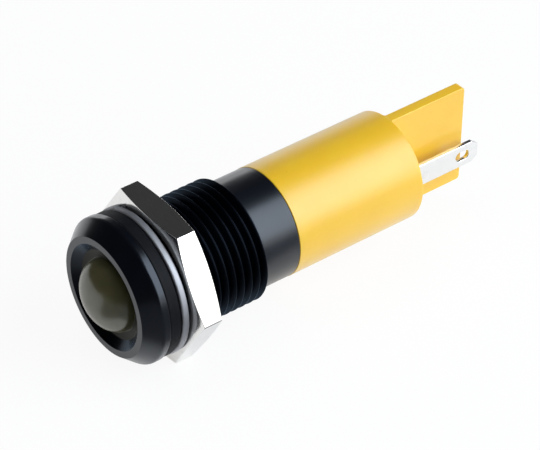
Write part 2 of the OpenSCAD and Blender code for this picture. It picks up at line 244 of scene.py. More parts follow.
class Wire:  # a socket that can stand in sums
    def __init__(self, owner, socket):
        self.owner, self.socket = owner, socket

    def maths(self, operation, *others, clamp=False):
        values = dict(enumerate((self,) + others))
        settings = dict(operation=operation, use_clamp=clamp)
        return self.owner.add("ShaderNodeMath", settings, values)

    def __add__(self, other):
        return self.maths("ADD", other)

    def __radd__(self, other):
        return self.maths("ADD", other)

    def __sub__(self, other):
        return self.maths("SUBTRACT", other)

    def __rsub__(self, other):
        return self * -1 + other

    def __mul__(self, other):
        return self.maths("MULTIPLY", other)

    def __rmul__(self, other):
        return self.maths("MULTIPLY", other)

    def __truediv__(self, other):
        return self.maths("DIVIDE", other)

    def clamped(self):
        return self.maths("ADD", 0.0, clamp=True)

    def size(self):
        return self.maths("ABSOLUTE")

    def wave(self):
        return self.maths("SINE")

    def either(self, other):
        return self.maths("MAXIMUM", other)

    def above(self, edge, blur):  # 0 below edge, 1 above edge + blur
        return ((self - edge) / blur).clamped()

    def below(self, edge, blur):  # 1 below edge - blur, 0 above edge
        return 1 - self.above(edge - blur, blur)

    def near(self, place, reach, blur=0.03):  # 1 within reach of the place
        return (self - place).size().below(reach + blur, blur)


class Nodes:  # a node tree, each of whose new nodes comes from add
    def __init__(self, tree):
        self.tree = tree

    def add(self, kind, settings=None, sockets=None, out=0):
        node = self.tree.nodes.new(kind)
        for key, value in (settings or {}).items():
            setattr(node, key, value)
        for key, value in (sockets or {}).items():
            self.feed(node.inputs[key], value)
        return Wire(self, node.outputs[out])

    def feed(self, socket, value):
        if isinstance(value, Wire):
            self.tree.links.new(value.socket, socket)
        elif socket.type == "RGBA" and len(value) == 3:
            socket.default_value = (*value, 1)
        else:
            socket.default_value = value

    def outputs(self, kind, sockets, *names):
        made = self.add(kind, {}, sockets).socket.node.outputs
        return [Wire(self, made[name]) for name in names]


class Finish(Nodes):  # a material under construction, on Object coordinates in millimetres
    def __init__(self, name, **constants):
        self.material = bpy.data.materials.new(name)
        self.material.use_nodes = True
        super().__init__(self.material.node_tree)
        self.shader = self.tree.nodes["Principled BSDF"]
        for socket, value in constants.items():
            self.feed(self.shader.inputs[socket.replace("_", " ")], value)
        place = self.add("ShaderNodeTexCoord", out="Object")
        self.where = self.vector("SCALE", place, Scale=1 / mm)
        self.x, self.y, self.z = self.outputs(
            "ShaderNodeSeparateXYZ", {0: self.where}, "X", "Y", "Z")
        self.radius = (self.x * self.x + self.z * self.z).maths("SQRT")

    def vector(self, operation, *values, **named):
        sockets = dict(enumerate(values), **named)
        return self.add("ShaderNodeVectorMath", dict(operation=operation), sockets)

    def stretched(self, x, y, z):  # the place with its axes scaled
        return self.vector("MULTIPLY", self.where, (x, y, z))

    def point(self, x, y, z):
        return self.add("ShaderNodeCombineXYZ", {}, {0: x, 1: y, 2: z})

    def noise(self, scale, detail=3, at=None, roughness=0.5):
        return self.add("ShaderNodeTexNoise", {}, {
            "Vector": at or self.where, "Scale": scale, "Detail": detail,
            "Roughness": roughness})

    def cells(self, scale, out="Distance"):
        return self.add("ShaderNodeTexVoronoi", {}, {"Vector": self.where, "Scale": scale},
                        out=out)

    def blend(self, share, first, second):  # colours: first where share is 0
        return self.add("ShaderNodeMix", dict(data_type="RGBA"),
                        {0: share, 6: first, 7: second}, out=2)

    def bump(self, height, distance):
        return self.add("ShaderNodeBump", {}, {"Height": height, "Distance": distance * mm})

    def drive(self, **wires):
        for socket, wire in wires.items():
            self.feed(self.shader.inputs[socket.replace("_", " ")], wire)
        return self.material

    def rings(self, scale, detail=2):  # noise that changes only across the turning marks
        return self.noise(scale, detail, at=self.point(self.radius, self.y, 0.0))

    def specks(self, scale, share, size):  # rare small dots
        chance = self.cells(scale, out="Color")
        lottery = self.add("ShaderNodeSeparateXYZ", {}, {0: chance})
        return self.cells(scale).below(size, size * 0.3) * lottery.above(1 - share, 0.001)


bezel = dict(
    rimRadius=6.75, mouthRadius=5.95, seatRadius=4.85, noseRadius=4.2, lipDepth=1.0,
    seatDepth=2.35, shelfDepth=8.95, bandLength=0.7, bandRise=0.15, bandEdge=0.6, edge=0.06,
    seatEdge=0.03, lipEdge=0.02)
thread = dict(
    crest=7.0, root=6.3, pitch=1.0, flankAngle=30, land=0.11, soften=0.008, tail=0.3125,
    chamfer=0.25, relief=0.9, reliefFillet=0.1, runIn=1.7, columns=228,
    halfPitch=(0, 0.035, 0.05, 0.062, 0.074, 0.09, 0.17, 0.28, 0.38, 0.43, 0.445, 0.46,
               0.475, 0.5))
barrel = dict(
    plainRadius=6.225, plainLength=4.6, boreRadius=5.65, edge=0.1, boreEdge=0.05,
    dark=(0.0008, 0.0011, 0.0024), light=(0.0022, 0.0030, 0.0062), dust=(0.2, 0.21, 0.23))
lipY = rimY + bezel["lipDepth"]  # where the lamp's flange meets the mouth
threadEnd = barrelEnd - barrel["plainLength"]
lastCrest = threadEnd - thread["tail"]


def blackCoat():
    # a glossy lacquer on the front and on the plain length, thin and dull on the cut thread and
    # in the mouth, where the metal grade with the near-black base takes the lacquer's mirror
    # share down as painted shade of the thread's grooves and of the recess round the lamp;
    # turning lines run across the radius and the place, and there are a few dust specks
    coat = Finish("blackCoat", IOR=1.32, Specular_Tint=(0.6, 0.78, 1.0),
                  Coat_Roughness=0.28, Coat_IOR=1.5)
    cloud = coat.noise(0.35, 2)
    lines = coat.rings(9.0)
    dust = coat.specks(0.9, 0.05, 0.07)
    plain = coat.y.above(threadEnd, 0.1)
    cut = coat.y.above(sealLow[1], 0.1) * (1 - plain)
    mouth = coat.radius.below(bezel["mouthRadius"] + 0.02, 0.02)
    colour = coat.blend(cloud, barrel["dark"], barrel["light"])
    colour = coat.blend(dust, colour, barrel["dust"])
    height = lines * (0.6 - 0.35 * plain) + coat.noise(6.0, 3) * 0.4
    # painted shade: the metal grade and the lower coat weight on the cut thread and in the mouth
    # darken them
    return coat.drive(
        Base_Color=colour, Metallic=0.6 * cut.either(0.8 * mouth),
        Coat_Weight=(1 - cut) * (1 - 0.7 * mouth) * (0.5 + 0.2 * cloud + 0.35 * plain),
        Roughness=0.15 + 0.07 * cloud + 0.04 * lines + 0.3 * dust + 0.22 * plain + 0.2 * cut,
        Normal=coat.bump(height, 0.004))


def crestShape(phase):
    # depth below the crest: a straight flank starts half a land's width from the nearest
    # crest and stops at the root, and five close neighbours' mean softens the corners
    shifts = thread["soften"] * np.arange(-2, 3)
    away = [np.abs((phase + s + 0.5) % 1.0 - 0.5) * thread["pitch"] for s in shifts]
    flank = (np.stack(away) - thread["land"] / 2) / math.tan(math.radians(thread["flankAngle"]))
    return np.clip(flank, 0, thread["crest"] - thread["root"]).mean(axis=0)


def threadRows(angles, first, last):
    # rows run along the helix: place = last crest + pitch x (row phase - angle / full turn),
    # clipped to the thread's two ends, and the depth is the section's there
    half = np.array(thread["halfPitch"])
    inPitch = np.concatenate([half, 1 - half[-2:0:-1]])
    pitch = thread["pitch"]
    firstTurn = math.floor((first - lastCrest) / pitch)
    turns = np.arange(firstTurn, math.ceil((last - lastCrest) / pitch) + 2)
    phases = (turns[:, None] + inPitch).reshape(-1)[:, None]
    helix = pitch * (phases - angles / fullTurn) + lastCrest
    places = np.clip(helix, first, last)
    phase = (places - lastCrest) / pitch + angles / fullTurn
    return crestShape(phase), places


def makeBarrel():
    # radius and place of the front's and the rear's turned profile, with the thread's
    # helical rows between them: radius = crest - depth, cut by the rear end's chamfer and by
    # the run-in behind the relief
    b, t, p = bezel, thread, barrel
    columns = t["columns"]
    angles = np.linspace(0, fullTurn, columns + 1)
    backY, bandRadius = sealLow[1], barrelHigh[0]
    seatY, shelfY = rimY + b["seatDepth"], rimY + b["shelfDepth"]
    front = turned(supported(rounded([
        (b["noseRadius"], shelfY), (b["noseRadius"], seatY), (b["seatRadius"], seatY),
        (b["seatRadius"], lipY), (b["mouthRadius"], rimY),
        (b["rimRadius"], rimY), (bandRadius, backY - b["bandLength"] - b["bandRise"]),
        (bandRadius, backY), (t["root"], backY), (t["root"], backY + t["relief"] / 2)],
        [0, 0, b["seatEdge"], b["lipEdge"], b["edge"], b["edge"], b["bandEdge"], b["edge"],
         t["reliefFillet"], 0], steps=6)), columns)
    rear = turned(supported(rounded([
        (p["plainRadius"], threadEnd), (p["plainRadius"], barrelEnd),
        (p["boreRadius"], barrelEnd), (p["boreRadius"], shelfY), (b["noseRadius"], shelfY)],
        [0, p["edge"], p["boreEdge"], 0, 0])), columns)
    threadStart = backY + t["relief"]
    depth, places = threadRows(angles, threadStart, threadEnd)
    radii = np.minimum(t["crest"] - depth, t["crest"] - t["chamfer"] + (threadEnd - places))
    radii = np.minimum(radii, t["root"] + t["runIn"] * (places - threadStart))
    middleRows = carried(np.maximum(radii, t["root"]), places, angles)
    piece = gridSolid("bezelBarrel", np.concatenate([front, middleRows, rear]), closeRows=True)
    finishPiece(piece, blackCoat(), "black_plate", "light", "bezel_barrel")


makeBarrel()

nut = dict(
    acrossFlats=17.0, faceRadius=8.17, slope=15.0, cornerAngle=-1.9, edge=0.05,
    cornerEdge=0.03, cornerEase=0.4, mouth=0.41, crest=7.04, rootGap=0.02, perSide=44,
    rounding=((-2.2, -0.59), (-1, -0.268), (-0.45, 0.02), (-0.15, 0.3), (0, 0.75), (0, 1.4)),
    dark=(0.90, 0.885, 0.85), light=(0.97, 0.96, 0.93), pit=(0.45, 0.44, 0.42))


def nickelPlate():
    # clouded satin plate with drawing scratches along the flats, fine grain and a few pits
    plate = Finish("nickelPlate", Metallic=1.0)
    cloud = plate.noise(0.5, 3)
    grain = plate.noise(14.0, 3)
    scratch = plate.noise(1.0, 4, at=plate.stretched(0.9, 7.0, 0.9))
    pits = plate.specks(1.6, 0.12, 0.05)
    colour = plate.blend(cloud, nut["dark"], nut["light"])
    colour = plate.blend(0.18 * scratch.above(0.5, 0.25), colour, nut["pit"])
    colour = plate.blend(pits, colour, nut["pit"])
    return plate.drive(
        Base_Color=colour, Roughness=0.09 + 0.08 * cloud + 0.05 * scratch,
        Normal=plate.bump(grain * 0.5 + scratch * 0.5 - pits, 0.006))


def makeNut():
    # outer radius = half the width across flats / cos(angle from the flat's middle), less
    # cornerEase x (past + the root of past squared and a small square), where past is how far
    # it lies beyond the corner's edge; the section at each angle is a chamfered bar, whose
    # rounding is given as places (outward, along) in edge widths, and whose bore carries the
    # thread's helix
    n = nut
    half = math.pi / 6
    side = np.sin(np.linspace(-1, 1, n["perSide"] + 1) * math.pi / 2) * half
    start = math.radians(n["cornerAngle"]) + half
    angles = np.concatenate([side[:-1] + start + k * 2 * half for k in range(6)]
                            + [[side[0] + start + fullTurn]])
    off = (angles - start + half) % (2 * half) - half
    outer = n["acrossFlats"] / 2 / np.cos(off)
    past = outer - (n["acrossFlats"] / 2 / math.cos(half) - n["cornerEdge"])
    outer = outer - n["cornerEase"] * (past + np.sqrt(past ** 2 + n["cornerEdge"] ** 2 / 9))
    low, high, e = nutLow[1], nutHigh[1], n["edge"]
    fall = np.maximum(outer - n["faceRadius"], 0) * math.tan(math.radians(n["slope"]))
    mouthRadius, faceRadius = n["crest"] + n["mouth"], n["faceRadius"]
    faceSteps = [mouthRadius, mouthRadius + e, faceRadius - e, faceRadius]
    rows = [(radius, low) for radius in faceSteps]
    rows += [(outer + outward * e, low + fall + along * e) for outward, along in n["rounding"]]
    rows += [(outer + outward * e, high - fall - along * e)
             for outward, along in n["rounding"][::-1]]
    rows += [(radius, high) for radius in faceSteps[::-1]]
    outside = np.stack([carried(r + 0 * angles, y + 0 * angles, angles) for r, y in rows])
    depth, threadY = threadRows(angles, low, high)
    bore = np.maximum(n["crest"] - np.maximum(depth - n["rootGap"], 0),
                      mouthRadius - np.minimum(threadY - low, high - threadY))
    points = np.concatenate([outside, carried(bore, threadY, angles)[::-1]])
    piece = gridSolid("hexNut", points, closeRows=True)
    finishPiece(piece, nickelPlate(), "nickel_plate", "nut", "hex_nut", smoothAngle=30)


makeNut()

washer = dict(
    inner=7.1, outer=8.2, thickness=0.8, rise=0.38, cut=0.35, cutAngle=118.0, edge=0.2,
    steps=220, dark=(0.46, 0.46, 0.48), light=(0.64, 0.64, 0.66))


def springSteel():
    # lines drawn along the wire under clouds of bright zinc
    steel = Finish("springSteel", Metallic=1.0)
    drawn = steel.rings(16.0, 3)
    cloud = steel.noise(0.8, 3)
    colour = steel.blend(cloud, washer["dark"], washer["light"])
    return steel.drive(
        Base_Color=colour, Roughness=0.54 + 0.10 * cloud + 0.08 * drawn,
        Normal=steel.bump(drawn, 0.008))


def makeWasher():
    # a rounded bar carried once round the axis while it comes forward by the rise
    w = washer
    section = rounded(
        [(w["inner"], 0), (w["outer"], 0), (w["outer"], w["thickness"]),
         (w["inner"], w["thickness"])], [w["edge"]] * 4, steps=5, closed=True)
    gap = w["cut"] / w["outer"]
    share = np.linspace(0, 1, w["steps"] + 1)[:, None]
    angles = math.radians(w["cutAngle"]) + gap / 2 + (fullTurn - gap) * share
    places = washerLow[1] + w["rise"] * (1 - share) + section[None, :, 1]
    points = carried(section[None, :, 0] + 0 * places, places, angles)
    piece = gridSolid("lockWasher", points, closeColumns=True, caps=True)
    finishPiece(piece, springSteel(), "spring_steel", "washer", "lock_washer")


makeWasher()

seal = dict(
    inner=7.1, edge=0.2, boreEdge=0.05, columns=192, dark=(0.0035, 0.004, 0.005),
    light=(0.009, 0.0095, 0.012), bloom=(0.02, 0.02, 0.023))


def sealRubber(name, grainScale=22.0):
    # matt moulded rubber: clouds, fine grain and a paler bloom on the grain's high places
    rubber = Finish(name, Specular_IOR_Level=0.12)
    cloud = rubber.noise(0.7, 3)
    grain = rubber.noise(grainScale, 4)
    colour = rubber.blend(cloud, seal["dark"], seal["light"])
    colour = rubber.blend(grain.above(0.62, 0.1) * 0.3, colour, seal["bloom"])
    return rubber.drive(
        Base_Color=colour, Roughness=0.48 + 0.16 * grain, Normal=rubber.bump(grain, 0.01))


def makeSeal():
    # a ring whose section is a block with two rounded outer corners and sharper inner ones
    s = seal
    outer, low, high = sealHigh[0], sealLow[1], sealHigh[1]
    loop = supported(rounded(
        [(s["inner"], low), (outer, low), (outer, high), (s["inner"], high), (s["inner"], low)],
        [s["boreEdge"], s["edge"], s["edge"], s["boreEdge"], 0], steps=5))
    piece = gridSolid("panelSeal", turned(loop, s["columns"]), closeRows=True)
    finishPiece(piece, sealRubber("sealRubber"), "seal_rubber", "light", "panel_seal")


makeSeal()

lamp = dict(
    dome=4.1, lip=4.84, lipRise=0.18, lipLap=1.08, lipPower=1.6, flangeEdge=0.05,
    domeSteps=40, lipSteps=8, columns=160,
    dark=(0.064, 0.061, 0.024), light=(0.105, 0.100, 0.045), lipShadeColour=(0.009, 0.009, 0.003))


def lampResin():
    # milky olive resin, cloudy inside, and round the dome the flange, painted dark and given a
    # metal grade that takes its mirror share down, as painted shade of the dark slot it lies in
    resin = Finish("lampResin", IOR=1.85, Subsurface_Weight=0.6, Subsurface_Scale=0.002,
                   Subsurface_Radius=(1.0, 0.95, 0.6), Sheen_Weight=0.5, Sheen_Roughness=0.3,
                   Sheen_Tint=(1.0, 0.97, 0.85))
    cloud = resin.noise(0.4, 2)
    lip = resin.radius.above(lamp["dome"] + 0.02, 0.03)
    colour = resin.blend(cloud, lamp["dark"], lamp["light"])
    # painted shade: the flange gets a near-black colour and a metal grade for the dark slot it
    # lies in
    colour = resin.blend(lip, colour, lamp["lipShadeColour"])
    ripple = resin.noise(3.0, 2)
    return resin.drive(
        Base_Color=colour, Metallic=0.8 * lip, Roughness=0.19 + 0.08 * cloud + 0.25 * lip,
        Normal=resin.bump(ripple, 0.003))


def makeLamp():
    # a quarter of an ellipse turned round the axis for the dome, and round it the flange,
    # whose front comes forward towards the mouth's wall by lipRise x share of way ^ lipPower
    d = lamp
    a = np.linspace(0, math.pi / 2, d["domeSteps"] + 1)
    height = lipY - lampLow[1]
    dome = np.stack([d["dome"] * np.sin(a), lipY - height * np.cos(a)], axis=1)
    share = np.linspace(0, 1, d["lipSteps"] + 1)[1:]
    reach = d["lip"] + d["lipLap"] * d["lipRise"]
    rise = np.stack([d["dome"] + (reach - d["dome"]) * share,
                     lipY - d["lipRise"] * share ** d["lipPower"]], axis=1)
    flange = supported(rounded(
        [(d["lip"], lipY), (d["lip"], lampHigh[1]), (0, lampHigh[1])],
        [0, d["flangeEdge"], 0]))
    profile = np.concatenate([dome, rise, flange])
    piece = gridSolid("lampLens", turned(profile, d["columns"]))
    finishPiece(piece, lampResin(), "lamp_resin", "light", "lamp")


makeLamp()

housing = dict(
    spigotRadius=5.6, pocketRadius=4.9, endWall=1.5, edge=0.15, fillet=0.1, rimEdge=0.05,
    spigotEdge=0.1, stepFillet=0.02, shoulderEdge=0.06, columns=192,
    dividerLength=10.3, dividerHalf=0.6, dividerReach=6.22, dividerEdge=0.1, sideEdge=0.07,
    dividerFoot=0.7, dividerFillet=0.16, cornerEdge=0.45, slotEdge=0.12,
    dark=(0.82, 0.48, 0.010), light=(0.88, 0.54, 0.016), fleck=(0.30, 0.16, 0.02))
tab = dict(
    width=2.8, half=0.25, edge=0.06, footX=1.05, bladeX=2.0, side=-1.6, bendLength=1.2,
    bendMargin=0.2, bendSteps=12, soften=0.04, tipLength=0.85, tipWidth=0.6, footCorner=0.1,
    sideCorner=0.15, tipCorner=0.12, eyeLength=1.9, eyeWidth=1.2, eyeBack=2.2, slotGap=0.08,
    dark=(0.90, 0.90, 0.885), light=(0.965, 0.965, 0.955),
    prints=(0.70, 0.68, 0.64))
endY = housingHigh[1] - housing["dividerLength"]  # rear face of the housing's end wall
bendFrom = pottingFront - tab["bendLength"]


def housingPlastic():
    # golden moulded plastic with a spark-eroded grain, slow clouds and rare dark flecks
    plastic = Finish(
        "housingPlastic", IOR=1.55, Subsurface_Weight=0.3, Subsurface_Radius=(1.0, 0.55, 0.08),
        Subsurface_Scale=0.001, Sheen_Weight=0.32, Sheen_Roughness=0.4, Coat_Roughness=0.36,
        Coat_IOR=1.62)
    cloud = plastic.noise(0.18, 2)
    spark = plastic.noise(9.0, 4, roughness=0.6)
    fleck = plastic.specks(1.1, 0.04, 0.045)
    colour = plastic.blend(cloud, housing["dark"], housing["light"])
    colour = plastic.blend(fleck, colour, housing["fleck"])
    return plastic.drive(
        Base_Color=colour, Coat_Weight=0.55 + 0.25 * cloud, Roughness=0.40 + 0.08 * spark,
        Normal=plastic.bump(spark, 0.012))


def makeDivider():
    # a plate whose section across X and Y has a small fillet at its foot and rounded rear
    # edges; it is carried along Z with its two sides' edges rounded, and near them its rear
    # edge falls back by a quarter circle
    h = housing
    half, fillet, rear = h["dividerHalf"], h["dividerFillet"], housingHigh[1]
    foot = half + fillet
    curve = np.linspace(0, math.pi / 2, 6)
    bend = np.stack([foot - fillet * np.sin(curve), endY + fillet * (1 - np.cos(curve))], axis=1)
    right = np.concatenate([[(foot, endY - h["dividerFoot"])], bend])
    tip = rounded([right[-1], (half, rear), (-half, rear), (-half, right[-1][1])],
                  [0, h["dividerEdge"], h["dividerEdge"], 0])
    section = supported(np.concatenate([right[:-1], tip, right[:-1][::-1] * (-1, 1)]))
    reach, corner, steps = h["dividerReach"], h["cornerEdge"], 5
    strip = thickLoop(section, reach, h["sideEdge"], steps=steps)
    inside = reach - h["sideEdge"] - 0.01
    level = inside - corner * (1 - np.cos(np.linspace(0, math.pi / 2, 7)))
    rows = [np.column_stack([section, np.full(len(section), z)])
            for z in [*level, *-level[::-1]]]
    points = np.concatenate([strip[:steps], np.stack(rows), strip[steps:]])
    past = np.maximum(np.abs(points[..., 2]) - (reach - corner), 0)
    drop = corner - np.sqrt(np.maximum(corner ** 2 - past ** 2, 0))
    points[..., 1] -= drop * (points[..., 1] > (endY + rear) / 2)
    return gridSolid("divider", points, 1, closeColumns=True, caps=True)


def makeSlot(turn):
    # a block with rounded corners, a little larger all round than the blade in it
    t = tab
    halfX, halfZ = t["half"] + t["slotGap"], t["width"] / 2 + t["slotGap"]
    corners = [(-halfX, -halfZ), (halfX, -halfZ), (halfX, halfZ), (-halfX, halfZ)]
    loop = rounded(corners, [housing["slotEdge"]] * 4, steps=3, closed=True)
    loop = (loop + (t["bladeX"], t["side"])) * turn
    rows = [np.stack([loop[:, 0], np.full(len(loop), y), loop[:, 1]], axis=1)
            for y in (endY - housing["endWall"] - 1, endY + 1)]
    return gridSolid("slot", np.stack(rows), 1, closeColumns=True, caps=True)


def makeHousing():
    # a turned cup with its spigot in the barrel, the divider added to its end wall and one
    # slot for each blade cut through the wall
    h = housing
    outer, pocketEnd = housingHigh[0], endY - h["endWall"]
    points = turned(supported(rounded([
        (0, pocketEnd), (h["pocketRadius"], pocketEnd), (h["pocketRadius"], housingLow[1]),
        (h["spigotRadius"], housingLow[1]), (h["spigotRadius"], barrelEnd),
        (outer, barrelEnd), (outer, endY), (0, endY)],
        [0, h["fillet"], h["rimEdge"], h["spigotEdge"], h["stepFillet"], h["shoulderEdge"],
         h["edge"], 0], steps=6)), h["columns"])
    piece = gridSolid("rearHousing", points, 1)
    joinSolid(piece, makeDivider(), "UNION")
    for turn in (1, -1):
        joinSolid(piece, makeSlot(turn), "DIFFERENCE")
    piece.data.transform(Matrix.Scale(mm, 4))
    finishPiece(piece, housingPlastic(), "housing_plastic", "light", "rear_housing")


makeHousing()


def tinPlate():
    # rolled strip under bright tin: lines along the strip, clouds, and a few dull prints
    tin = Finish("tinPlate", Metallic=1.0)
    cloud = tin.noise(0.9, 3)
    rolled = tin.noise(1.0, 3, at=tin.stretched(12.0, 0.8, 12.0))
    prints = tin.noise(0.5, 3).above(0.58, 0.15)
    colour = tin.blend(cloud, tab["dark"], tab["light"])
    colour = tin.blend(prints * 0.15, colour, tab["prints"])
    return tin.drive(
        Base_Color=colour, Roughness=0.17 + 0.12 * cloud + 0.10 * prints,
        Normal=tin.bump(rolled, 0.006))


def bladePlace(flat):
    # width, place and height of the flat sheet become X = middle of the sheet at that place
    # + height, Y = place, Z = side + width; the middle steps from foot to blade, and four
    # close neighbours' mean softens the step
    t = tab
    width, place, height = flat[..., 0], flat[..., 1], flat[..., 2]
    places = [place + t["soften"] * shift for shift in (-3, -1, 1, 3)]
    step = np.clip((np.stack(places) - bendFrom) / t["bendLength"], 0, 1).mean(axis=0)
    across = t["footX"] + (t["bladeX"] - t["footX"]) * step + height
    return np.stack([across, place, t["side"] + width], axis=-1)


def makeTab(name, node, turn, material):
    # the flat outline and its eye are cut from sheet and bent, and the turn of -1 stands the
    # second tab half round the axis; each place in the bend ties a point of one long side to
    # the point across from it, so that the flat faces bend along straight lines
    t = tab
    half, tip, foot = t["width"] / 2, tabHigh[1], tabLow[1]
    bends = np.linspace(bendFrom - t["bendMargin"], pottingFront + t["bendMargin"],
                        t["bendSteps"] + 1)
    right = [(half, y) for y in bends]
    left = [(-half, y) for y in bends[::-1]]
    top = [(half, tip - t["tipLength"]), (half - t["tipWidth"], tip),
           (-half + t["tipWidth"], tip), (-half, tip - t["tipLength"])]
    outline = [(-half, foot), (half, foot)] + right + top + left
    corners = [t["sideCorner"], t["tipCorner"], t["tipCorner"], t["sideCorner"]]
    straight = [0] * len(bends)
    radii = [t["footCorner"]] * 2 + straight + corners + straight
    outline = rounded(outline, radii, closed=True)
    a = np.linspace(0, math.pi, 17)
    eyeRadius, reach = t["eyeWidth"] / 2, (t["eyeLength"] - t["eyeWidth"]) / 2
    arc = np.stack([eyeRadius * np.cos(a), eyeRadius * np.sin(a) + reach], axis=1)
    eye = (np.concatenate([arc, -arc]) + (0, tip - t["eyeBack"]))[::-1]
    place = outline[:, 1].round(6)
    pairs = [np.flatnonzero(place == round(y, 6)) for y in bends]
    ties = [tuple(p.tolist()) for p in pairs]
    shells = plate([outline, eye], t["half"], t["edge"], ties)
    shells = [(bladePlace(points) * (turn, 1, turn), faces) for points, faces in shells]
    piece = makeSolid(name, shells)
    finishPiece(piece, material, "tab_metal", "light", node)


tin = tinPlate()
makeTab("positiveTab", "positive_tab", 1, tin)
makeTab("negativeTab", "negative_tab", -1, tin)

leadMetal = dict(dark=(0.66, 0.66, 0.65), light=(0.80, 0.80, 0.79), copper=(0.62, 0.36, 0.24))


def tinnedWire():
    # drawn copper under tin: lines along the wire, copper showing through thin places
    wire = Finish("tinnedWire", Metallic=1.0)
    drawn = wire.noise(1.0, 3, at=wire.stretched(30.0, 1.5, 30.0))
    thin = wire.noise(2.2, 4).above(0.6, 0.1)
    colour = wire.blend(drawn, leadMetal["dark"], leadMetal["light"])
    colour = wire.blend(thin * 0.4, colour, leadMetal["copper"])
    return wire.drive(Base_Color=colour, Roughness=0.18 + 0.14 * drawn,
                      Normal=wire.bump(drawn, 0.006))


solderMetal = dict(bright=(0.72, 0.73, 0.75), frosted=(0.52, 0.53, 0.56), flux=(0.30, 0.18, 0.05))


def softSolder():
    # cooled solder: frosted cells, bright clouds and a brown film of flux
    solder = Finish("softSolder", Metallic=1.0)
    frost = solder.cells(6.0)
    flux = solder.noise(1.6, 3).above(0.56, 0.08)
    colour = solder.blend(frost, solderMetal["bright"], solderMetal["frosted"])
    colour = solder.blend(flux * 0.6, colour, solderMetal["flux"])
    return solder.drive(Base_Color=colour, Roughness=0.22 + 0.25 * frost,
                        Normal=solder.bump(frost, 0.02))


boardSkin = dict(
    laminate=(0.42, 0.36, 0.20), layer=(0.20, 0.16, 0.08), mask=(0.012, 0.10, 0.030),
    track=(0.030, 0.19, 0.060), glass=(0.10, 0.24, 0.10), faceX=0.78, railZ=1.9, railHalf=0.28,
    linkHalf=0.2, linkReach=3.0)


def boardLaminate():
    # green mask over a glass weave with raised tracks, two rails and a link along the middle,
    # and the bare edge's brown layers
    b = boardSkin
    board = Finish("boardLaminate", Specular_IOR_Level=0.5)
    face = board.x.size().above(b["faceX"], 0.005)
    weave = (board.y * 14.0).wave() * (board.z * 14.0).wave()
    link = board.z.near(0.0, b["linkHalf"]) * board.y.near(
        middle("circuit_board")[1], b["linkReach"])
    track = board.z.size().near(b["railZ"], b["railHalf"]).either(link)
    layers = (board.x * 60.0).wave() * 0.5 + 0.5
    green = board.blend(track, b["mask"], b["track"])
    green = board.blend(weave * 0.06 + 0.06, green, b["glass"])
    bare = board.blend(layers * 0.5, b["laminate"], b["layer"])
    colour = board.blend(face, bare, green)
    return board.drive(Base_Color=colour, Roughness=0.6 - 0.3 * face,
                       Normal=board.bump(track * face + weave * 0.08 + layers * 0.1, 0.03))


resistorPaint = dict(
    dark=(0.50, 0.36, 0.18), light=(0.62, 0.48, 0.28), bandHalf=0.17,
    bands={-1.15: (0.12, 0.035, 0.01), -0.6: (0.006, 0.006, 0.006),
           -0.05: (0.45, 0.02, 0.01), 1.05: (0.55, 0.36, 0.08)})


def resistorCoat():
    # tan lacquer in thicker and thinner clouds, with four painted bands across the body
    coat = Finish("resistorCoat", Coat_Roughness=0.15)
    dip = coat.noise(2.5, 3)
    along = coat.y - middle("resistor")[1] + (dip - 0.5) * 0.06
    colour = coat.blend(dip * 0.5, resistorPaint["dark"], resistorPaint["light"])
    for place, paint in resistorPaint["bands"].items():
        colour = coat.blend(along.near(place, resistorPaint["bandHalf"]), colour, paint)
    return coat.drive(Base_Color=colour, Roughness=0.30 + 0.15 * dip,
                      Coat_Weight=0.3 + 0.3 * dip, Normal=coat.bump(dip, 0.02))


diodeSkin = dict(
    dark=(0.012, 0.012, 0.014), light=(0.030, 0.030, 0.033), band=(0.55, 0.55, 0.54),
    bandPlace=0.75, bandHalf=0.2)


def diodeCase():
    # moulded black case with one pale band near an end and a fine moulding grain
    d = diodeSkin
    case = Finish("diodeCase", Specular_IOR_Level=0.5)
    along = case.y - middle("diode")[1]
    grain = case.noise(12.0, 4)
    band = (along + (grain - 0.5) * 0.05).near(d["bandPlace"], d["bandHalf"])
    dark = case.blend(grain, d["dark"], d["light"])
    return case.drive(Base_Color=case.blend(band, dark, d["band"]),
                      Roughness=0.42 + 0.2 * grain - 0.1 * band, Normal=case.bump(grain, 0.012))


holderSkin = dict(
    dark=(0.010, 0.010, 0.012), light=(0.024, 0.024, 0.027), scuff=(0.06, 0.06, 0.065))


def holderPlastic():
    # black nylon with flow lines along the moulding and a scuffed, greyer skin in places
    nylon = Finish("holderPlastic", Specular_IOR_Level=0.45)
    flow = nylon.noise(1.0, 4, at=nylon.stretched(2.0, 0.5, 2.0))
    grain = nylon.noise(16.0, 3)
    scuff = nylon.noise(3.0, 4).above(0.62, 0.1)
    colour = nylon.blend(flow, holderSkin["dark"], holderSkin["light"])
    colour = nylon.blend(scuff * 0.4, colour, holderSkin["scuff"])
    return nylon.drive(Base_Color=colour, Roughness=0.38 + 0.2 * grain + 0.1 * scuff,
                       Normal=nylon.bump(grain, 0.01))


pottingSkin = dict(
    dark=(0.030, 0.018, 0.008), light=(0.075, 0.048, 0.022), bubble=(0.14, 0.10, 0.06))


def pottingResin():
    # brown casting resin with trapped bubbles and slow swirls
    resin = Finish("pottingResin", IOR=1.54, Coat_Roughness=0.1)
    swirl = resin.noise(0.5, 4)
    bubble = resin.specks(1.4, 0.3, 0.16)
    colour = resin.blend(swirl, pottingSkin["dark"], pottingSkin["light"])
    colour = resin.blend(bubble, colour, pottingSkin["bubble"])
    return resin.drive(Base_Color=colour, Roughness=0.16 + 0.2 * swirl,
                       Coat_Weight=0.4 + 0.2 * swirl, Normal=resin.bump(swirl - bubble, 0.03))


def dress(material, *nodes):
    for name in nodes:
        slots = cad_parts[name].data.materials
        slots.clear()
        slots.append(material)
    print("dressed", ", ".join(nodes))


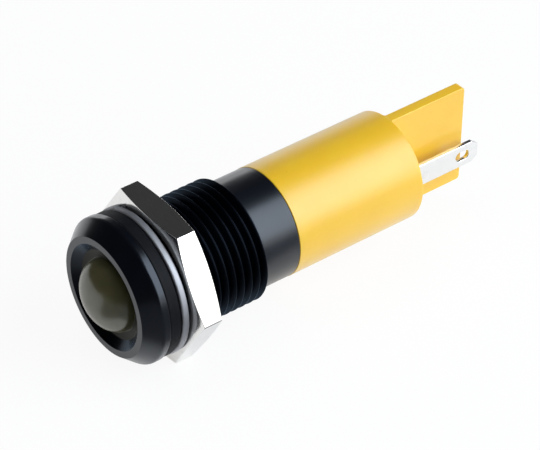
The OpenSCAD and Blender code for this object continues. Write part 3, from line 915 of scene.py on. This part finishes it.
dress(tinnedWire(), "anode_lead", "cathode_lead", "resistor_front_wire", "resistor_rear_wire",
      "diode_front_wire", "diode_rear_wire")
dress(softSolder(), "lamp_solder", "wire_solder", "tab_solder")
dress(boardLaminate(), "circuit_board")
dress(resistorCoat(), "resistor")
dress(diodeCase(), "diode")
dress(holderPlastic(), "lead_holder")
dress(pottingResin(), "potting_resin")
dress(sealRubber("gasketRubber", 14.0), "lamp_gasket")

studio = dict(
    floorSize=1.6, floorDark=(0.90, 0.90, 0.90), floorLight=(0.92, 0.92, 0.92),
    cameraShare=0.92, softShare=0.95, glossShare=0.5, clothShare=0.95,
    cloth=(0.20, 0.21, 0.23), clothRight=8.5, clothLeft=-4, clothFront=-11,
    clothSlant=(0.61, -0.48), world=0.038, worldColour=(0.95, 0.97, 1.0), centre=(0, 0.018, 0))
lights = dict(
    window=dict(place=(0.2304, 0.1728, 0.2232), width=0.36, height=0.34, radiance=4.2,
                colour=(0.82, 0.90, 1.0)),
    card=dict(place=(0.345, 0.20, 0.052), width=0.5, height=0.10, radiance=1.8),
    overhead=dict(place=(-0.15, -0.1, 0.5), width=0.5, height=0.5, radiance=1.6, glossy=False),
    fill=dict(place=(0.42, 0.32, 0.07), width=0.3, height=0.12, radiance=4.0, glossy=False),
    edge=dict(place=(-0.40, 0.24, 0.045), width=0.5, height=0.07, radiance=2.2))
view = dict(turn=51.955, lift=38.598, roll=0.705, target=(-0.576, 17.9, -1.363), far=289.4,
            lens=181.76)


def floorPaper():
    # paper that takes the object's shadow, mixed with a plain white glow: almost all glow for
    # camera and diffuse rays, and half for mirror rays; on the camera's side mirror rays see
    # a dark cloth instead, right of clothRight and in front of clothFront up to clothLeft
    s = studio
    paper = Finish("floorPaper", Roughness=0.9)
    camera, gloss, through, soft = paper.outputs(
        "ShaderNodeLightPath", {}, "Is Camera Ray", "Is Glossy Ray", "Is Transmission Ray",
        "Is Diffuse Ray")
    mirror = gloss.either(through) * (1 - camera)
    front = paper.y.below(s["clothFront"], 3) * paper.x.above(s["clothLeft"], 4)
    side = paper.x * s["clothSlant"][0] + paper.y * s["clothSlant"][1]
    cloth = mirror * paper.x.above(s["clothRight"], 3).either(front) * side.above(0.5, 2)
    glow = paper.add("ShaderNodeEmission", {}, {
        "Color": paper.blend(cloth, (1, 1, 1), s["cloth"]), "Strength": 1.0})
    share = mirror * (s["glossShare"] + (s["clothShare"] - s["glossShare"]) * cloth)
    share = share + camera * s["cameraShare"] + soft * s["softShare"]
    paper.drive(Base_Color=paper.blend(paper.noise(0.05, 2), s["floorDark"], s["floorLight"]))
    mix = paper.add("ShaderNodeMixShader", {}, {
        0: share, 1: Wire(paper, paper.shader.outputs[0]), 2: glow})
    paper.feed(paper.tree.nodes["Material Output"].inputs["Surface"], mix)
    return paper.material


def makeFloor():
    # a square sheet that the object lies on
    half, level = studio["floorSize"] / 2, cadLow[2]
    corners = [(x * half, y * half, level) for x, y in ((-1, -1), (1, -1), (1, 1), (-1, 1))]
    mesh = bpy.data.meshes.new("floor")
    mesh.from_pydata(corners, [], [(0, 1, 2, 3)])
    mesh.materials.append(floorPaper())
    floor = bpy.data.objects.new("floor", mesh)
    bpy.context.scene.collection.objects.link(floor)


def makeLight(name, place, width, height, radiance, colour=(1, 1, 1), glossy=True):
    # a panel that faces the centre; one with this radiance on its face gives
    # radiance x pi x area watts
    data = bpy.data.lights.new(name, "AREA")
    data.shape, data.size, data.size_y = "RECTANGLE", width, height
    data.energy, data.color = radiance * math.pi * width * height, colour
    light = bpy.data.objects.new(name, data)
    light.location = Vector(studio["centre"]) + Vector(place)
    light.rotation_euler = (-Vector(place)).to_track_quat("-Z", "Y").to_euler()
    light.visible_glossy = glossy
    bpy.context.scene.collection.objects.link(light)


def makeWorld():
    # white for the camera, dim and cool for every other ray
    world = bpy.data.worlds.new("studio")
    world.use_nodes = True
    bpy.context.scene.world = world
    sky = Nodes(world.node_tree)
    dim = sky.tree.nodes["Background"]
    sky.feed(dim.inputs["Color"], studio["worldColour"])
    sky.feed(dim.inputs["Strength"], studio["world"])
    white = sky.add("ShaderNodeBackground", {}, {"Color": (1, 1, 1), "Strength": 1.0})
    seen = sky.add("ShaderNodeLightPath", out="Is Camera Ray")
    mix = sky.add("ShaderNodeMixShader", {}, {0: seen, 1: Wire(sky, dim.outputs[0]), 2: white})
    sky.feed(sky.tree.nodes["World Output"].inputs["Surface"], mix)


def makeCamera():
    # it looks back at the target from the turn about Z and the lift above the floor, and
    # rolls about its own line of sight; target and far are in millimetres
    turn, lift, roll = (math.radians(view[key]) for key in ("turn", "lift", "roll"))
    back = Vector((math.sin(turn) * math.cos(lift), -math.cos(turn) * math.cos(lift),
                   math.sin(lift)))
    data = bpy.data.cameras.new("camera")
    data.sensor_width, data.lens = 36, view["lens"]
    data.clip_start, data.clip_end = 0.01, 10
    level = (-back).cross(Vector((0, 0, 1))).normalized()
    upright = back.cross(level)
    right = level * math.cos(roll) + upright * math.sin(roll)
    up = upright * math.cos(roll) - level * math.sin(roll)
    pose = Matrix((right, up, back)).transposed().to_4x4()
    pose.translation = (Vector(view["target"]) + back * view["far"]) * mm
    camera = bpy.data.objects.new("camera", data)
    camera.matrix_world = pose
    bpy.context.scene.collection.objects.link(camera)
    bpy.context.scene.camera = camera


makeFloor()
makeWorld()
for name, light in lights.items():
    makeLight(name, **light)
makeCamera()
bpy.context.scene.view_settings.view_transform = "Standard"
print("studio ready")
